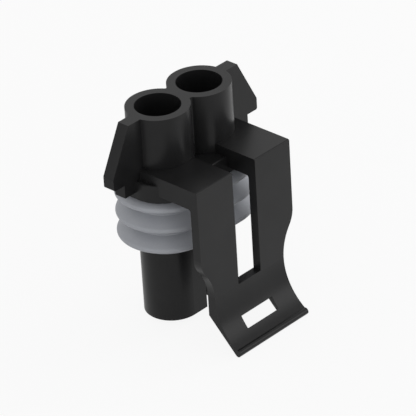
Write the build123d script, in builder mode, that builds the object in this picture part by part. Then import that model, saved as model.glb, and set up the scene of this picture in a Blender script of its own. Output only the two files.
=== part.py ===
from build123d import *
from math import acos, asin, atan2, cos, hypot, radians, sin, tan
import os

# Two-way sealed connector housing with its ring seal, in millimetres.
# X runs through the two wire tubes, -Y points to the latch and +Z to the wire side.
# The origin is the middle of the flat end face of the nose, on the mating side.

# Wire tubes
tube_pitch = 7.0
tube_overlap = 0.66             # how far the two tubes run into each other
tube_diameter = tube_pitch + tube_overlap
tube_length = 7.6               # rim down to the top of the flange
tube_notch_radius = 0.3         # rounding where the two tubes run into each other
wire_bore_diameter = 5.5        # takes the round cable seal
wire_bore_depth = 12.8

# Terminal chambers behind the wire bores
chamber_width = 3.2
chamber_depth = 3.4
bore_cone_height = 0.9          # funnel from the round bore to the chamber
end_wall = 1.2                  # nose wall between a chamber and the mating side
pin_slot_width = 2.6
pin_slot_depth = 1.1
pin_slot_lead = 0.35            # chamfer that guides the mating blade in

# Flange under the tubes, a rounded rectangle
flange_length = 17.5
flange_depth = 10.4
flange_corner_radius = 4.0
flange_thickness = 2.25
flange_edge_radius = 0.2

# Nose, a full-round oval
nose_length = 9.94              # end face up to the lower end of the ring seal
nose_round_spacing = 6.34       # between the centres of its two round ends
nose_round_radius = 3.48
nose_edge_chamfer = 0.1
keyway_width = 2.0              # groove up the middle of the nose, on the latch side
keyway_depth = 2.4
keyway_length = 8.0

# Ring seal, stretched over the root of the nose and so with the same two round ends
seal_crest_radius = 6.0
seal_groove_radius = 4.35
rib_count = 3
rib_pitch = 2.7
rib_tip_radius = 0.4
groove_floor_width = 0.15
ring_end_height = 1.1           # outermost crest to the end of the ring, at both ends

# Wings, one flat plate at each end of the tubes
wing_thickness = 1.6
wing_top_reach = 9.2            # from the middle of the housing along X
wing_reach = 12.2
wing_slope_drop = 5.8           # below the rim, where the sloping edge ends
wing_drop = 7.3                 # below the rim, underside of the widest part
foot_reach = 10.5
foot_drop = 8.97                # below the rim, end of the narrow foot
wing_corner_radius = 0.25

# Latch: shelf, arm and flared tab
latch_width = 15.84
latch_reach = 9.7               # tube axes out to the front of the arm
shelf_drop = 6.42               # below the rim
shelf_thickness = 2.5
shelf_root = 3.2                # tube axes out to the rear end of the shelf
arm_thickness = 1.13
arm_corner_radius = 0.35        # inner corner between shelf and arm
latch_edge_radius = 0.2
tab_width = 11.94
shoulder_drop = 15.6            # below the rim, where the arm starts to narrow
shoulder_radius = 3.4
waist_radius = 6.2
kink_drop = 24.03               # below the rim, where the rear of the tab turns outward
flare_angle = 45.0
flare_length = 5.62             # kink to the middle of the lip
lip_radius = 0.42
flare_start_drop = 21.5         # below the rim, where the outer face starts to curve
tab_end_thickness = 0.665       # where that curve runs into the lip

# Slot down the middle of the latch, and the window through the tab
slot_width = 3.86
slot_drop = 21.36               # below the rim
window_width = 5.36
window_height = 1.63
window_distance = 2.9           # kink to the middle of the window, along the flare

# Levels above the end face of the nose
seal_length = rib_pitch * (rib_count - 1) + 2 * ring_end_height
seal_bottom = nose_length
flange_bottom = seal_bottom + seal_length
flange_top = flange_bottom + flange_thickness
rim = flange_top + tube_length
shelf_top = rim - shelf_drop
shelf_bottom = shelf_top - shelf_thickness
bore_floor = rim - wire_bore_depth
tube_centres = (-tube_pitch / 2, tube_pitch / 2)

# Outline of the latch seen along X: the shelf, the arm hanging from its front edge and the
# tab, whose rear is a straight slant. The outer face of the tab is one arc, which leaves the
# arm's front without a corner and ends inside the lip. Half its sweep is the slope of the
# straight line between its two ends.
arm_front = -latch_reach
arm_rear = arm_front + arm_thickness
kink = (arm_rear, rim - kink_drop)
slant = (-sin(radians(flare_angle)), -cos(radians(flare_angle)))
outward = (slant[1], -slant[0])


def along_flare(distance, height):
    """A point in the YZ plane: so far down the rear slant, and so far out from it."""
    return (
        kink[0] + distance * slant[0] + height * outward[0],
        kink[1] + distance * slant[1] + height * outward[1],
    )


lip_centre = along_flare(flare_length, lip_radius)
lip_rear = along_flare(flare_length, 0)
flare_start = (arm_front, rim - flare_start_drop)
flare_end = along_flare(flare_length, tab_end_thickness)
flare_out = flare_start[0] - flare_end[0]
flare_down = flare_start[1] - flare_end[1]
flare_sweep = 2 * atan2(flare_out, flare_down)
flare_radius = flare_down / sin(flare_sweep)


def flare_point(angle):
    """A point on the arc of the outer face, its angle counted from where the arc starts."""
    return (
        flare_start[0] - flare_radius * (1 - cos(angle)),
        flare_start[1] - flare_radius * sin(angle),
    )


flare_mid = flare_point(flare_sweep / 2)

# Seen from the front the arm narrows to the tab by a convex and a concave arc that share
# one tangent.
half_latch = latch_width / 2
half_tab = tab_width / 2
narrowing = half_latch - half_tab
turn = acos(1 - narrowing / (shoulder_radius + waist_radius))
shoulder_z = rim - shoulder_drop
joint_point = (
    half_latch - shoulder_radius * (1 - cos(turn)),
    shoulder_z - shoulder_radius * sin(turn),
)
shoulder_mid = (
    half_latch - shoulder_radius * (1 - cos(turn / 2)),
    shoulder_z - shoulder_radius * sin(turn / 2),
)
waist_z = shoulder_z - (shoulder_radius + waist_radius) * sin(turn)
waist_mid = (
    half_tab + waist_radius * (1 - cos(turn / 2)),
    waist_z + waist_radius * sin(turn / 2),
)
tip_z = lip_centre[1] - 2 * lip_radius

with BuildPart() as latch:
    # side profile, carried across the full width
    with BuildSketch(Plane.YZ):
        with BuildLine():
            Polyline(
                flare_start,
                (arm_front, shelf_top),
                (-shelf_root, shelf_top),
                (-shelf_root, shelf_bottom),
                (arm_rear, shelf_bottom),
                kink,
                lip_rear,
                lip_centre,
                flare_end,
            )
            ThreePointArc(flare_end, flare_mid, flare_start)
        make_face()
        with Locations(lip_centre):
            Circle(lip_radius)
    extrude(amount=half_latch, both=True)
    inner_corner = (
        latch.edges().filter_by(Axis.X).sort_by_distance((0, arm_rear, shelf_bottom))[0]
    )
    fillet(inner_corner, arm_corner_radius)
    front_corner = (
        latch.edges().filter_by(Axis.X).sort_by_distance((0, arm_front, shelf_top))[0]
    )
    fillet(front_corner, latch_edge_radius)
    # front outline, which narrows the arm to the tab
    with BuildSketch(Plane.XZ):
        with BuildLine():
            Line((0, rim), (half_latch, rim))
            Line((half_latch, rim), (half_latch, shoulder_z))
            ThreePointArc((half_latch, shoulder_z), shoulder_mid, joint_point)
            ThreePointArc(joint_point, waist_mid, (half_tab, waist_z))
            Line((half_tab, waist_z), (half_tab, tip_z))
            Line((half_tab, tip_z), (0, tip_z))
            mirror(about=Plane.YZ)
        make_face()
    extrude(amount=2 * latch_reach, both=True, mode=Mode.INTERSECT)
    # the slot, square at its floor
    with BuildSketch(Plane.XZ):
        with Locations((0, rim - slot_drop)):
            Rectangle(slot_width, rim, align=(Align.CENTER, Align.MIN))
    extrude(amount=2 * latch_reach, both=True, mode=Mode.SUBTRACT)
    # the window, cut square to the flare
    window_middle = along_flare(window_distance, 0)
    window_plane = Plane(
        origin=(0, *window_middle),
        x_dir=(1, 0, 0),
        z_dir=(0, *outward),
    )
    with BuildSketch(window_plane):
        Rectangle(window_width, window_height)
    extrude(amount=flare_length, both=True, mode=Mode.SUBTRACT)

with BuildPart() as housing:
    # nose with its end edge just broken
    with BuildSketch(Plane.XY):
        SlotCenterToCenter(nose_round_spacing, 2 * nose_round_radius)
    extrude(amount=flange_bottom)
    chamfer(housing.faces().sort_by(Axis.Z)[0].edges(), nose_edge_chamfer)
    # keyway
    with BuildSketch(Plane.XY):
        with Locations((0, -nose_round_radius)):
            Rectangle(keyway_width, 2 * keyway_depth)
    extrude(amount=keyway_length, mode=Mode.SUBTRACT)
    # flange
    with BuildSketch(Plane.XY.offset(flange_bottom)):
        RectangleRounded(flange_length, flange_depth, flange_corner_radius)
    extrude(amount=flange_thickness)
    fillet(housing.faces().sort_by(Axis.Z)[-1].edges(), flange_edge_radius)
    # the two tubes, run together in the middle
    with BuildSketch(Plane.XY.offset(flange_bottom)) as tube_outline:
        with GridLocations(tube_pitch, 0, 2, 1):
            Circle(tube_diameter / 2)
        notches = tube_outline.vertices().group_by(SortBy.DISTANCE)[0]
        fillet(notches, tube_notch_radius)
    extrude(amount=flange_thickness + tube_length)
    # wings, from the middle of a tube outward
    with BuildSketch(Plane.XZ) as wing_outline:
        with BuildLine():
            Polyline(
                (tube_pitch / 2, rim),
                (wing_top_reach, rim),
                (wing_reach, rim - wing_slope_drop),
                (wing_reach, rim - wing_drop),
                (foot_reach, rim - wing_drop),
                (foot_reach, rim - foot_drop),
                (tube_pitch / 2, rim - foot_drop),
                close=True,
            )
        make_face()
        outer_corners = wing_outline.vertices().group_by(Axis.X)[-1]
        fillet(outer_corners, wing_corner_radius)
        mirror(about=Plane.YZ)
    extrude(amount=wing_thickness / 2, both=True)
    # latch
    add(latch.part)
    # round bores, the funnels below them and the chambers down to the end wall
    with BuildSketch(Plane.XY.offset(rim)):
        with GridLocations(tube_pitch, 0, 2, 1):
            Circle(wire_bore_diameter / 2)
    extrude(amount=-wire_bore_depth, mode=Mode.SUBTRACT)
    for centre in tube_centres:
        with BuildSketch(Plane.XY.offset(bore_floor)):
            with Locations((centre, 0)):
                Circle(wire_bore_diameter / 2)
        with BuildSketch(Plane.XY.offset(bore_floor - bore_cone_height)):
            with Locations((centre, 0)):
                Circle(chamber_width / 2)
        loft(mode=Mode.SUBTRACT)
    with BuildSketch(Plane.XY.offset(end_wall)):
        with GridLocations(tube_pitch, 0, 2, 1):
            Rectangle(chamber_width, chamber_depth)
    extrude(amount=bore_floor - end_wall, mode=Mode.SUBTRACT)
    # mating slots through the end wall
    with BuildSketch(Plane.XY):
        with GridLocations(tube_pitch, 0, 2, 1):
            Rectangle(pin_slot_width, pin_slot_depth)
    extrude(amount=end_wall, mode=Mode.SUBTRACT)
    with BuildSketch(Plane.XY):
        with GridLocations(tube_pitch, 0, 2, 1):
            Rectangle(pin_slot_width + 2 * pin_slot_lead, pin_slot_depth + 2 * pin_slot_lead)
    extrude(amount=pin_slot_lead, taper=45, mode=Mode.SUBTRACT)

# Ring seal: ribs with rounded tips and sloping flanks, carried straight along both sides and
# round both ends. A flank starts at the narrow floor of a groove and is tangent to the round
# tip, so its angle is that of the line to the tip's centre, less the angle the tip takes up.
flank_height = (rib_pitch - groove_floor_width) / 2
tip_reach = seal_crest_radius - rib_tip_radius - seal_groove_radius
flank_angle = atan2(flank_height, tip_reach) - asin(rib_tip_radius / hypot(tip_reach, flank_height))
apex_radius = seal_groove_radius + flank_height / tan(flank_angle)
end_radius = apex_radius - ring_end_height / tan(flank_angle)
lowest_crest = seal_bottom + ring_end_height

with BuildSketch() as rib_section:
    # the radius runs along the sketch's x and the level along its y
    outline = [(nose_round_radius, seal_bottom), (end_radius, seal_bottom)]
    for rib in range(rib_count):
        crest = lowest_crest + rib * rib_pitch
        if rib > 0:
            outline.append((seal_groove_radius, crest - flank_height - groove_floor_width))
            outline.append((seal_groove_radius, crest - flank_height))
        outline.append((apex_radius, crest))
    outline.append((end_radius, flange_bottom))
    outline.append((nose_round_radius, flange_bottom))
    with BuildLine():
        Polyline(*outline, close=True)
    make_face()
    tips = rib_section.vertices().group_by(Axis.X)[-1]
    fillet(tips, rib_tip_radius)

with BuildPart() as ring_seal:
    for side in (-1, 1):
        # the straight run along this side, then the half turn round the end behind it
        start = Plane(
            origin=(-side * nose_round_spacing / 2, 0, 0),
            x_dir=(0, side, 0),
            z_dir=(side, 0, 0),
        )
        with BuildSketch(start) as section:
            add(rib_section.sketch)
        extrude(section.sketch, amount=nose_round_spacing)
        revolve(
            section.sketch,
            axis=Axis((-side * nose_round_spacing / 2, 0, 0), (0, 0, 1)),
            revolution_arc=180,
        )

housing.part.label = "housing"
ring_seal.part.label = "ring_seal"

os.makedirs("parts", exist_ok=True)
export_step(housing.part, "parts/housing.step")
export_step(ring_seal.part, "parts/ring_seal.step")
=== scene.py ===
# %% [markdown]
# A sealed connector housing in plastic, with a ribbed rubber seal round its nose.
# The solids come from the CAD model as a fixed frame, in metres: X runs through the two wire
# tubes, -Y points to the latch and Z runs up the tubes. The origin is the middle of the
# nose's end face, so the part stands on z = 0, apart from the lip of the latch tab.

from math import cos, radians, sin

import bpy
import numpy as np
from mathutils import Matrix, Vector


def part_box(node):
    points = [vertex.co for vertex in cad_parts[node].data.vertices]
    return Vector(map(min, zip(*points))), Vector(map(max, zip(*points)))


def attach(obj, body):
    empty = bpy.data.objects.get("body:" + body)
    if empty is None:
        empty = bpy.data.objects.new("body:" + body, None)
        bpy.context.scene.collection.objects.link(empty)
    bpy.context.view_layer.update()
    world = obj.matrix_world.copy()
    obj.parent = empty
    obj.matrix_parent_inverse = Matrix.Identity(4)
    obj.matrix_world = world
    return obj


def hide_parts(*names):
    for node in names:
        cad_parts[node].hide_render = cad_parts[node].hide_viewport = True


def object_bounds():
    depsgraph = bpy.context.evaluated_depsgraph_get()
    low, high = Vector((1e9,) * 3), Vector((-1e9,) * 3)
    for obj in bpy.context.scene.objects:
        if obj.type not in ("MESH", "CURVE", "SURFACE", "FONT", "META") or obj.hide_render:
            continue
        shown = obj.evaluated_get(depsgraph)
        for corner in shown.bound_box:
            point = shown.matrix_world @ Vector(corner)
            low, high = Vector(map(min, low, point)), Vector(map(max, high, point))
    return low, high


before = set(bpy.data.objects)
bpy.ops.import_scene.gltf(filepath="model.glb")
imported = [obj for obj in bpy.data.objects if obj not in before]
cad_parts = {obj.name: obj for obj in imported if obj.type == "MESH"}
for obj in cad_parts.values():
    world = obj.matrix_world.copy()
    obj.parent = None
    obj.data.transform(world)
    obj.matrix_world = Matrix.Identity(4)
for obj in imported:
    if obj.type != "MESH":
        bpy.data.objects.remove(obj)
cad_low, cad_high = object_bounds()
mm = 0.001
print("CAD box, mm:", [round(v / mm, 2) for v in (*cad_low, *cad_high)])

# %% [markdown]
# The camera first, because every look at the work goes through it.
# The photograph was taken with a long lens from the front left, about 30 degrees above the
# part and with the picture turned a few degrees. The place of a camera can be worked out by
# hand: its forward direction from two angles, then right and up square to it, turned by the
# roll. The camera's matrix has right, up and backward as its columns.

# %% The camera
azimuth = radians(45.512)
elevation = radians(30.572)
roll = radians(-3.607)
distance = 419.93 * mm
aim_offset = (3.423 * mm, -13.283 * mm)
rim_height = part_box("housing")[1].z
focal_pixels = 3644.8
image_pixels = 416
sensor_width = 36.0
nearest_seen = 0.01
farthest_seen = 10.0

forward = Vector(
    (sin(azimuth) * cos(elevation), cos(azimuth) * cos(elevation), -sin(elevation))
)
level_right = forward.cross(Vector((0, 0, 1))).normalized()
level_up = level_right.cross(forward)
right = cos(roll) * level_right + sin(roll) * level_up
up = cos(roll) * level_up - sin(roll) * level_right
aim = Vector((0, 0, rim_height)) + aim_offset[0] * right + aim_offset[1] * up
camera_place = aim - distance * forward

camera_data = bpy.data.cameras.new("camera")
camera_data.sensor_width = sensor_width
camera_data.lens = focal_pixels / image_pixels * sensor_width
camera_data.clip_start = nearest_seen
camera_data.clip_end = farthest_seen
camera = bpy.data.objects.new("camera", camera_data)
bpy.context.scene.collection.objects.link(camera)
columns = Matrix((right, up, -forward)).transposed()
camera.matrix_world = Matrix.Translation(camera_place) @ columns.to_4x4()
bpy.context.scene.camera = camera
print("camera lens, mm:", round(camera_data.lens, 1))

# %% [markdown]
# Materials are built from nodes. A few small helpers keep them short. The first adds a node by
# its type, sets its inputs by name and links the ones that are given as sockets, and the
# others add the nodes that come up again and again.
# The patterns read Object coordinates, which are metres here, so a scale of 1 / (0.2 mm)
# makes features about a fifth of a millimetre wide.


# %% Helpers for node materials
def add_node(tree, kind, inputs=None, **settings):
    """One shader node: its settings are attributes, its inputs are values or sockets."""
    node = tree.nodes.new(kind)
    for name, value in settings.items():
        setattr(node, name, value)
    for name, value in (inputs or {}).items():
        if isinstance(value, bpy.types.NodeSocket):
            tree.links.new(value, node.inputs[name])
        else:
            node.inputs[name].default_value = value
    return node


def empty_material(name):
    """A material with only a Principled shader and its output, and the tree to build in."""
    material = bpy.data.materials.new(name)
    material.use_nodes = True
    tree = material.node_tree
    shader = tree.nodes["Principled BSDF"]
    return material, tree, shader


def object_place(tree):
    """Object coordinates, in metres."""
    return add_node(tree, "ShaderNodeTexCoord").outputs["Object"]


def noise(tree, place, size, detail=2.0, roughness=0.5):
    """Grey noise between 0 and 1 whose features are about size metres wide."""
    node = add_node(
        tree,
        "ShaderNodeTexNoise",
        {"Vector": place, "Scale": 1 / size, "Detail": detail, "Roughness": roughness},
    )
    return node.outputs["Fac"]


def combine(tree, operation, first, second):
    """Two values put together by a sum, a product or another operation."""
    node = add_node(tree, "ShaderNodeMath", {0: first, 1: second}, operation=operation)
    return node.outputs["Value"]


def remap(tree, value, start, end, low, high, curve="LINEAR"):
    """The value that is low where the given one is start, and high where it is end."""
    node = add_node(
        tree,
        "ShaderNodeMapRange",
        {"Value": value, "From Min": start, "From Max": end, "To Min": low, "To Max": high},
        interpolation_type=curve,
    )
    return node.outputs["Result"]


def spread(tree, value, low, high):
    """Noise moved from the range 0.3 to 0.7, where it mostly lies, to low to high."""
    return remap(tree, value, 0.3, 0.7, low, high)


def colour_between(tree, factor, first, second):
    """A colour mixed from first at 0 to second at 1."""
    node = add_node(tree, "ShaderNodeMix", {"Factor": factor}, data_type="RGBA")
    node.inputs["A"].default_value = (*first, 1)
    node.inputs["B"].default_value = (*second, 1)
    return node.outputs["Result"]


# %% [markdown]
# The housing is moulded in a black glass-filled plastic. The mould's spark-eroded face leaves
# a fine grain, which the eye reads as a satin gloss, and the melt leaves broad, faint changes
# of gloss. So the roughness carries two noises, a broad and a fine one, the bump carries the
# fine one, and the colour hardly changes at all.

# %% Satin black plastic
melt_width = 4 * mm
grain_width = 0.12 * mm
grain_depth = 0.01 * mm
plastic_dark = (0.009, 0.009, 0.0093)
plastic_light = (0.012, 0.012, 0.0123)


def satin_black_plastic():
    """Plastic with a roughness of 0.29 to 0.32 by the broad noise, give or take 0.01 by grain."""
    material, tree, shader = empty_material("satin_black_plastic")
    place = object_place(tree)
    broad = noise(tree, place, melt_width, detail=3)
    grain = noise(tree, place, grain_width, detail=4, roughness=0.6)
    colour = colour_between(tree, spread(tree, broad, 0, 1), plastic_dark, plastic_light)
    grain_gloss = spread(tree, grain, -0.01, 0.01)
    gloss = combine(tree, "ADD", spread(tree, broad, 0.29, 0.32), grain_gloss)
    bump = add_node(
        tree, "ShaderNodeBump", {"Height": grain, "Strength": 0.05, "Distance": grain_depth}
    )
    shader.inputs["Specular IOR Level"].default_value = 0.21
    tree.links.new(colour, shader.inputs["Base Color"])
    tree.links.new(gloss, shader.inputs["Roughness"])
    tree.links.new(bump.outputs["Normal"], shader.inputs["Normal"])
    return material


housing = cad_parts["housing"]
plastic = satin_black_plastic()
for material_slot in housing.material_slots:
    material_slot.material = plastic

# %% [markdown]
# The ring seal is cast in grey silicone rubber. It has a low sheen, is slightly mottled by the
# dusting powder that keeps such rings from sticking together, and its skin is a little uneven.

# %% Grey silicone rubber
cloud_width = 2.5 * mm
dust_width = 0.15 * mm
dust_depth = 0.03 * mm
rubber_dark = (0.27, 0.28, 0.305)
rubber_light = (0.31, 0.32, 0.345)


def grey_silicone():
    """Rubber whose colour follows the mean of a broad and a fine noise."""
    material, tree, shader = empty_material("grey_silicone")
    place = object_place(tree)
    cloud = noise(tree, place, cloud_width, detail=4)
    dust = noise(tree, place, dust_width, detail=3, roughness=0.7)
    mean = combine(tree, "MULTIPLY", combine(tree, "ADD", cloud, dust), 0.5)
    colour = colour_between(tree, spread(tree, mean, 0, 1), rubber_dark, rubber_light)
    bump = add_node(
        tree, "ShaderNodeBump", {"Height": dust, "Strength": 0.1, "Distance": dust_depth}
    )
    tree.links.new(colour, shader.inputs["Base Color"])
    shader.inputs["Roughness"].default_value = 0.42
    tree.links.new(bump.outputs["Normal"], shader.inputs["Normal"])
    return material


rubber = grey_silicone()

# %% [markdown]
# The seal itself. Its CAD solid has the right size, but rubber has no hard edges, so the ring
# is made again as one smooth surface: the outline of its section, carried round an oval.
# A surface like this is a grid of points with two parameters, one along the section and one
# round the ring, and numpy works out the whole grid at once.
#
# The section is a stack of ribs. Each rib has a round tip and sloping flanks, and a narrow
# floor with small rounds joins two flanks in the groove. A flank is the straight line between
# two arcs, so only the arcs need points.

# %% Sizes of the ring, from the CAD solid's box
seal_low, seal_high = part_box("ring_seal")
crest_radius = (seal_high.y - seal_low.y) / 2
half_spacing = (seal_high.x - seal_low.x) / 2 - crest_radius
inner_radius = 3.48 * mm
groove_radius = 4.35 * mm
groove_floor = 0.15 * mm
tip_radius = 0.4 * mm
floor_radius = 0.08 * mm
edge_radius = 0.15 * mm
rib_count = 3
rib_pitch = 2.7 * mm
end_height = (seal_high.z - seal_low.z - (rib_count - 1) * rib_pitch) / 2
print("ring: crest radius", round(crest_radius / mm, 3), "end height", round(end_height / mm, 3))


# %% The section of the ring
def rounded_outline(corners, radii, steps=8):
    """A closed outline with each corner replaced by an arc tangent to its two sides.

    The arc starts and ends at radius times tan(turn / 2) from the corner, where turn is the
    angle between the sides' directions. Its centre lies off the start, square to the side.
    """
    corners = np.array(corners, dtype=float)
    runs = []
    for index, radius in enumerate(radii):
        corner = corners[index]
        if radius == 0:
            runs.append(corner[None, :])
            continue
        arrive = corner - corners[index - 1]
        leave = corners[(index + 1) % len(corners)] - corner
        arrive /= np.linalg.norm(arrive)
        leave /= np.linalg.norm(leave)
        turn = np.arctan2(arrive[0] * leave[1] - arrive[1] * leave[0], arrive @ leave)
        side = np.sign(turn) * np.array([-arrive[1], arrive[0]])
        start = corner - radius * np.tan(abs(turn) / 2) * arrive
        centre = start + radius * side
        angle = np.linspace(0, abs(turn), steps + 1)[:, None]
        runs.append(centre - radius * np.cos(angle) * side + radius * np.sin(angle) * arrive)
    return np.concatenate(runs)


def ring_section():
    """The closed outline of the ring's section, radius first and level second.

    A flank is tangent to the tip's circle, so its slope against the radius is the angle of
    the line from its foot to the circle's centre, less the angle whose sine is the tip's
    radius over the length of that line. The flanks of a rib, drawn on, meet in its apex.
    """
    foot_height = (rib_pitch - groove_floor) / 2
    reach = crest_radius - tip_radius - groove_radius
    to_centre = np.arctan2(foot_height, reach)
    flank = to_centre - np.arcsin(tip_radius / np.hypot(reach, foot_height))
    apex = groove_radius + foot_height / np.tan(flank)
    end_radius = apex - end_height / np.tan(flank)
    corners = [(inner_radius, seal_low.z), (end_radius, seal_low.z)]
    radii = [edge_radius, edge_radius / 2]
    for rib in range(rib_count):
        crest = seal_low.z + end_height + rib * rib_pitch
        if rib > 0:
            corners.append((groove_radius, crest - foot_height - groove_floor))
            corners.append((groove_radius, crest - foot_height))
            radii += [floor_radius, floor_radius]
        corners.append((apex, crest))
        radii.append(tip_radius)
    corners += [(end_radius, seal_high.z), (inner_radius, seal_high.z)]
    radii += [0, 0]
    return rounded_outline(corners, radii)


section = ring_section()
print("points in the section:", len(section))


# %% [markdown]
# The path round the ring is a stadium: two straight runs and two half turns. Offsetting a
# stadium outward only makes its half turns wider, so a point of the section at radius r goes
# to the path's centre line plus r times the outward direction.


# %% The path round the ring
def stadium_path(turn_steps=64, run_steps=12):
    """Centre-line points and outward directions of an oval, as two arrays.

    On a half turn the centre stays at the end's centre while the outward direction turns. On
    a straight run the direction stays while the centre moves from one end to the other.
    """
    turn = np.linspace(-np.pi / 2, np.pi / 2, turn_steps + 1)
    run = np.linspace(half_spacing, -half_spacing, run_steps + 1)[1:-1]
    ahead = np.stack([np.cos(turn), np.sin(turn)], axis=1)
    right_end = np.tile([half_spacing, 0.0], (len(turn), 1))
    back_run = np.stack([run, np.zeros_like(run)], axis=1)
    centres = np.concatenate([right_end, back_run, -right_end, -back_run])
    back = np.tile([0.0, 1.0], (len(run), 1))
    outward = np.concatenate([ahead, back, -ahead, -back])
    return centres, outward


centres, outward = stadium_path()


# %% The surface of the ring
def grid_faces(rows, columns):
    """Faces of a grid that closes on itself both ways, as four corner numbers a face."""
    row = np.arange(rows)[:, None]
    column = np.arange(columns)[None, :]
    next_row = (row + 1) % rows
    next_column = (column + 1) % columns
    corners = [
        row * columns + column,
        next_row * columns + column,
        next_row * columns + next_column,
        row * columns + next_column,
    ]
    return np.stack(corners, axis=-1).reshape(-1, 4)


def add_piece(name, points, faces, material, smooth=True):
    """A mesh object at the origin from arrays of points and faces."""
    mesh = bpy.data.meshes.new(name)
    mesh.from_pydata(points.tolist(), [], faces.tolist())
    mesh.polygons.foreach_set("use_smooth", np.full(len(faces), smooth))
    mesh.update()
    piece = bpy.data.objects.new(name, mesh)
    bpy.context.scene.collection.objects.link(piece)
    mesh.materials.append(material)
    return piece


flat = centres[:, None, :] + section[None, :, :1] * outward[:, None, :]
levels = np.broadcast_to(section[None, :, 1:], (len(centres), len(section), 1))
ring_points = np.concatenate([flat, levels], axis=2).reshape(-1, 3)
ring = add_piece("seal_ring", ring_points, grid_faces(len(centres), len(section)), rubber)
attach(ring, "root")
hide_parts("ring_seal")
print("faces in the ring:", len(ring.data.polygons))

# %% [markdown]
# Behind the latch shelf its outer corners run on, level, until they meet the wings. The CAD
# solid ends them a little short, so a small block fills each corner: one between the tube,
# the wing, the shelf and the flange. Its section is a rectangle from the wall of the tube out
# to the shelf's own outline, and the section turns about the tube's axis. Only its top and
# its outer side show, and the rest lies inside the housing or against the shelf.

# %% Sizes of the corner blocks, as in the CAD model
tube_axis = 3.5 * mm
wall_middle = 3.5 * mm
shelf_side = 7.92 * mm
shelf_rear = 3.2 * mm
inside_wing = 0.4 * mm
rear_share = 0.4
shelf_level = rim_height - 6.42 * mm
inside_flange = rim_height - 7.7 * mm


# %% The corner blocks
def corner_block(side, steps=6):
    """Points and faces of the block on one side, with side 1 for right and -1 for left.

    A ray from the tube's axis at an angle from the X axis leaves the outline where it first
    meets the shelf's side, at width / cos(angle), or its rear line, at depth / sin(angle).
    Past the outline's corner the block covers rear_share of the turn to the Y axis, by which
    the rear line has run into the wall of the tube.
    """
    width = shelf_side - tube_axis
    first = np.arctan2(inside_wing, width)
    corner = np.arctan2(shelf_rear, width)
    last = corner + rear_share * (np.pi / 2 - corner)
    along_side = np.linspace(first, corner, steps)
    along_rear = np.linspace(corner, last, steps)[1:]
    angle = np.concatenate([along_side, along_rear])
    outer = np.minimum(width / np.cos(angle), shelf_rear / np.sin(angle))
    inner = np.full_like(outer, wall_middle)
    reach = np.stack([inner, outer, outer, inner], axis=1)
    level = np.array([inside_flange, inside_flange, shelf_level, shelf_level])
    x = side * (tube_axis + reach * np.cos(angle)[:, None])
    y = -reach * np.sin(angle)[:, None]
    z = np.broadcast_to(level, x.shape)
    points = np.stack([x, y, z], axis=2).reshape(-1, 3)
    row = 4 * np.arange(len(angle) - 1)[:, None]
    column = np.arange(4)[None, :]
    beside = (column + 1) % 4
    sides = np.stack([row + column, row + beside, row + 4 + beside, row + 4 + column], axis=-1)
    end = len(points) - 4
    caps = np.array([[3, 2, 1, 0], [end, end + 1, end + 2, end + 3]])
    faces = np.concatenate([sides.reshape(-1, 4), caps])
    return points, faces if side > 0 else faces[:, ::-1]


for name, side in (("shelf_corner_left", -1), ("shelf_corner_right", 1)):
    points, faces = corner_block(side)
    block = add_piece(name, points, faces, plastic, smooth=False)
    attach(block, "root")
    print(name, "points", len(points), "faces", len(faces))

# %% [markdown]
# A plain pale floor and a plain pale world. The camera sees both as white, while the part is
# lit by a calmer grey world, so black plastic stays black. Light Path tells the two apart:
# Is Camera Ray is 1 for what the camera sees directly and 0 for light that reaches the part.
# Is Glossy Ray is 1 for what is mirrored in the part. There the floor's glow carries painted
# light, a painted pool of light that is strongest in front of the part, less to its left and
# least behind it, as if a lamp lit the floor from the front right. That painted reflection gives
# each face of the black plastic its own tone.

# %% Floor and world
floor_z = cad_low.z
floor_half = 0.6
floor_grey = 0.55
glow_share = 0.9
painted_light_fade_y = (-5 * mm, 32 * mm)
painted_light_least_at_back = 0.1
painted_light_fade_x = (-15 * mm, 8 * mm)
painted_light_least_at_left = 0.62
light_level = 0.85


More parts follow.
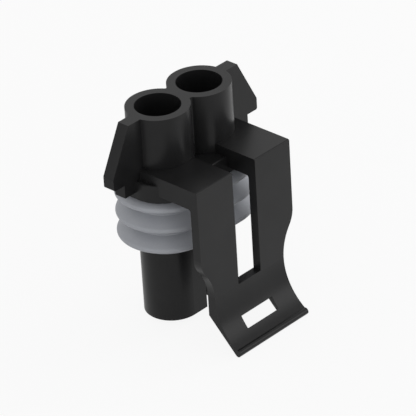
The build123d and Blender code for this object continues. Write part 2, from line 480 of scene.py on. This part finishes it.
def white_floor():
    """Diffuse white that keeps a soft shadow, mixed with a plain white glow.

    For the camera the glow's share is 0.9. Mirrored in the part it is 0.9 times painted light: a
    value that falls smoothly from front to back, times one that falls smoothly from right to
    left.
    """
    material, tree, shader = empty_material("studio_floor")
    shader.inputs["Base Color"].default_value = (floor_grey, floor_grey, floor_grey, 1)
    shader.inputs["Roughness"].default_value = 0.9
    glow = add_node(tree, "ShaderNodeEmission", {"Strength": 1.0})
    paths = add_node(tree, "ShaderNodeLightPath")
    axes = add_node(tree, "ShaderNodeSeparateXYZ", {"Vector": object_place(tree)})
    # Painted light for reflections: the floor's glow fades towards the back and towards the left.
    painted_light_to_back = remap(tree, axes.outputs["Y"], *painted_light_fade_y, 1.0, painted_light_least_at_back, "SMOOTHSTEP")
    painted_light_to_left = remap(tree, axes.outputs["X"], *painted_light_fade_x, painted_light_least_at_left, 1.0, "SMOOTHSTEP")
    painted_light = combine(tree, "MULTIPLY", painted_light_to_back, painted_light_to_left)
    painted_reflection = combine(tree, "MULTIPLY", paths.outputs["Is Glossy Ray"], painted_light)
    seen = combine(tree, "MAXIMUM", paths.outputs["Is Camera Ray"], painted_reflection)
    share = combine(tree, "MULTIPLY", seen, glow_share)
    mix = add_node(
        tree,
        "ShaderNodeMixShader",
        {0: share, 1: shader.outputs["BSDF"], 2: glow.outputs["Emission"]},
    )
    tree.links.new(mix.outputs["Shader"], tree.nodes["Material Output"].inputs["Surface"])
    return material


floor_points = floor_half * np.array([[-1, -1, 0], [1, -1, 0], [1, 1, 0], [-1, 1, 0]])
floor_points[:, 2] = floor_z
floor = add_piece("floor", floor_points, np.array([[0, 1, 2, 3]]), white_floor())

world = bpy.data.worlds.new("studio")
world.use_nodes = True
bpy.context.scene.world = world
world_tree = world.node_tree
world_paths = add_node(world_tree, "ShaderNodeLightPath")
strength = remap(world_tree, world_paths.outputs["Is Camera Ray"], 0, 1, light_level, 1.0)
background = world_tree.nodes["Background"]
background.inputs["Color"].default_value = (1, 1, 1, 1)
world_tree.links.new(strength, background.inputs["Strength"])

# %% [markdown]
# Four soft lamps shape the form. One stands behind and above and lights the rims, and one in
# front on the right gives the tab its band of light. Two low ones, on the left and the right,
# reach the seal behind the latch. These two are left out of mirror reflections, so they light
# the rubber and leave no hard glare on the satin plastic.


# %% Lamps
def add_lamp(name, place, watts, size, in_reflections=True):
    """A square area lamp at place, in metres, turned to look at the middle of the part."""
    data = bpy.data.lights.new(name, "AREA")
    data.energy = watts
    data.size = size
    lamp = bpy.data.objects.new(name, data)
    lamp.location = place
    target = (cad_low + cad_high) / 2
    lamp.rotation_euler = (target - Vector(place)).to_track_quat("-Z", "Y").to_euler()
    lamp.visible_glossy = in_reflections
    bpy.context.scene.collection.objects.link(lamp)


add_lamp("back_lamp", (0.10, 0.20, 0.30), 0.05, 0.20)
add_lamp("left_lamp", (-0.34, -0.12, 0.03), 0.30, 0.20, in_reflections=False)
add_lamp("right_lamp", (0.28, -0.06, 0.07), 0.46, 0.15, in_reflections=False)
add_lamp("front_lamp", (0.25, -0.30, 0.17), 0.22, 0.20)

# %% [markdown]
# The picture is shown as it is computed, with no film curve, so that a colour renders about as it
# is written.

# %% Picture
scene = bpy.context.scene
scene.view_settings.view_transform = "Standard"
